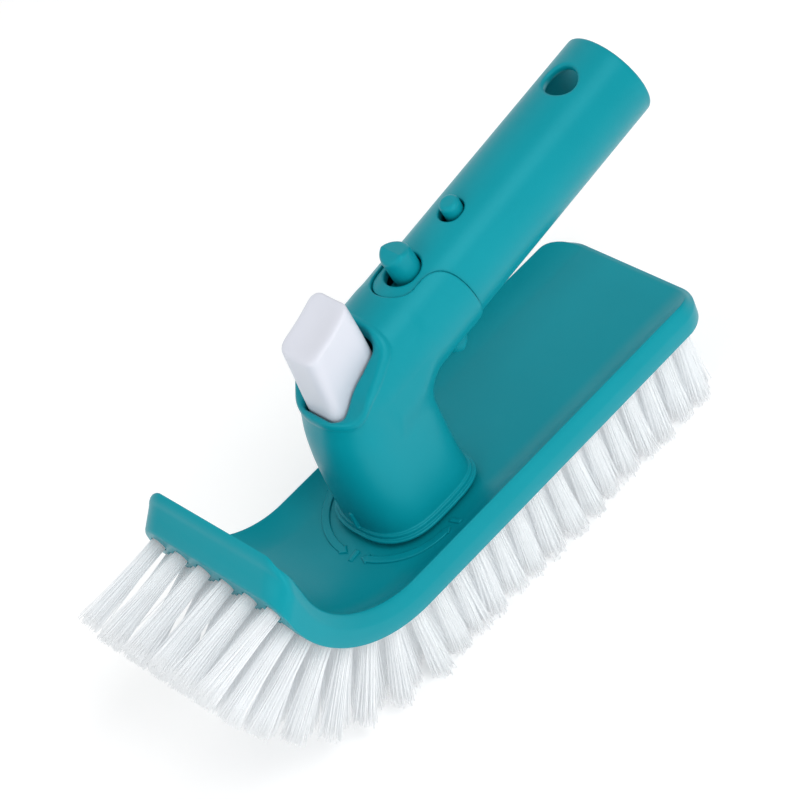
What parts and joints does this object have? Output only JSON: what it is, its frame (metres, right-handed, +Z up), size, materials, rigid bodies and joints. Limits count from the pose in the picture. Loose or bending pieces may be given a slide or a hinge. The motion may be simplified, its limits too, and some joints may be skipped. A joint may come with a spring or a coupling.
{
  "type": "pool wall brush",
  "caption": "Pool wall brush with a curled head, staggered nylon bristles, a swivelling elbow with a thumb release, and a spring-clip spigot for a telescopic pole.",
  "frame": {"origin": "on the swivel axis, in the plane of the tips of the straight bristles", "axes": "+X along the head towards the open end of the spigot, +Y across the head, +Z up, along the swivel axis and away from the bristles"},
  "size_m": [0.2164, 0.0614, 0.1175],
  "materials": {
    "teal_plastic": "satin moulded polypropylene",
    "white_plastic": "satin moulded plastic",
    "nylon_bristle": "drawn nylon filament",
    "steel": "plain stainless"
  },
  "bodies": {
    "head": {"brush_plate": "teal_plastic", "bristle_row_01": "nylon_bristle", "bristle_row_02": "nylon_bristle", "bristle_row_03": "nylon_bristle", "bristle_row_04": "nylon_bristle", "bristle_row_05": "nylon_bristle", "bristle_row_06": "nylon_bristle", "bristle_row_07": "nylon_bristle", "bristle_row_08": "nylon_bristle", "bristle_row_09": "nylon_bristle", "bristle_row_10": "nylon_bristle", "bristle_row_11": "nylon_bristle", "bristle_row_12": "nylon_bristle", "bristle_row_13": "nylon_bristle", "bristle_row_14": "nylon_bristle", "bristle_row_15": "nylon_bristle", "bristle_row_16": "nylon_bristle", "bristle_row_17": "nylon_bristle", "bristle_row_18": "nylon_bristle", "bristle_row_19": "nylon_bristle", "bristle_row_20": "nylon_bristle", "bristle_row_21": "nylon_bristle", "bristle_row_22": "nylon_bristle", "swivel_post": "teal_plastic", "post_screw": "steel"},
    "elbow": {"yoke": "teal_plastic", "pole_tube": "teal_plastic", "base_cover": "teal_plastic", "base_screw_1": "steel", "base_screw_2": "steel", "base_screw_3": "steel", "base_screw_4": "steel", "detent_leaf": "steel", "clip_bow": "teal_plastic", "button_spring": "steel"},
    "upper_arm": {"clip_arm_upper": "teal_plastic"},
    "lower_arm": {"clip_arm_lower": "teal_plastic"},
    "button": {"release_button": "white_plastic"},
    "latch": {"latch_slide": "steel"}
  },
  "joints": [
    {"name": "head_swivel", "type": "hinge", "parent": "head", "child": "elbow", "pos_m": [0, 0, 0], "axis": [0, 0, 1], "range_deg": [-90, 90], "deforming": ["detent_leaf"]},
    {"name": "button_press", "type": "slide", "parent": "elbow", "child": "button", "axis": [0, 0, -1], "range_m": [0, 0.004], "stiffness_N_per_m": 600, "springref_m": -0.003, "deforming": ["button_spring"]},
    {"name": "latch_release", "type": "slide", "parent": "elbow", "child": "latch", "axis": [-1, 0, 0], "range_m": [0, 0.0021]},
    {"name": "upper_arm_squeeze", "type": "hinge", "parent": "elbow", "child": "upper_arm", "pos_m": [0.07973, 0, 0.10195], "axis": [0, -1, 0], "range_deg": [0, 6.2], "stiffness_Nm_per_rad": 0.8, "springref_deg": -2.86},
    {"name": "lower_arm_squeeze", "type": "hinge", "parent": "elbow", "child": "lower_arm", "pos_m": [0.08133, 0, 0.09086], "axis": [0, 1, 0], "range_deg": [0, 6.2], "stiffness_Nm_per_rad": 0.8, "springref_deg": -2.86}
  ],
  "couplings": [
    {"joint": "latch_release", "follows": "button_press", "ratio": 0.525}
  ]
}
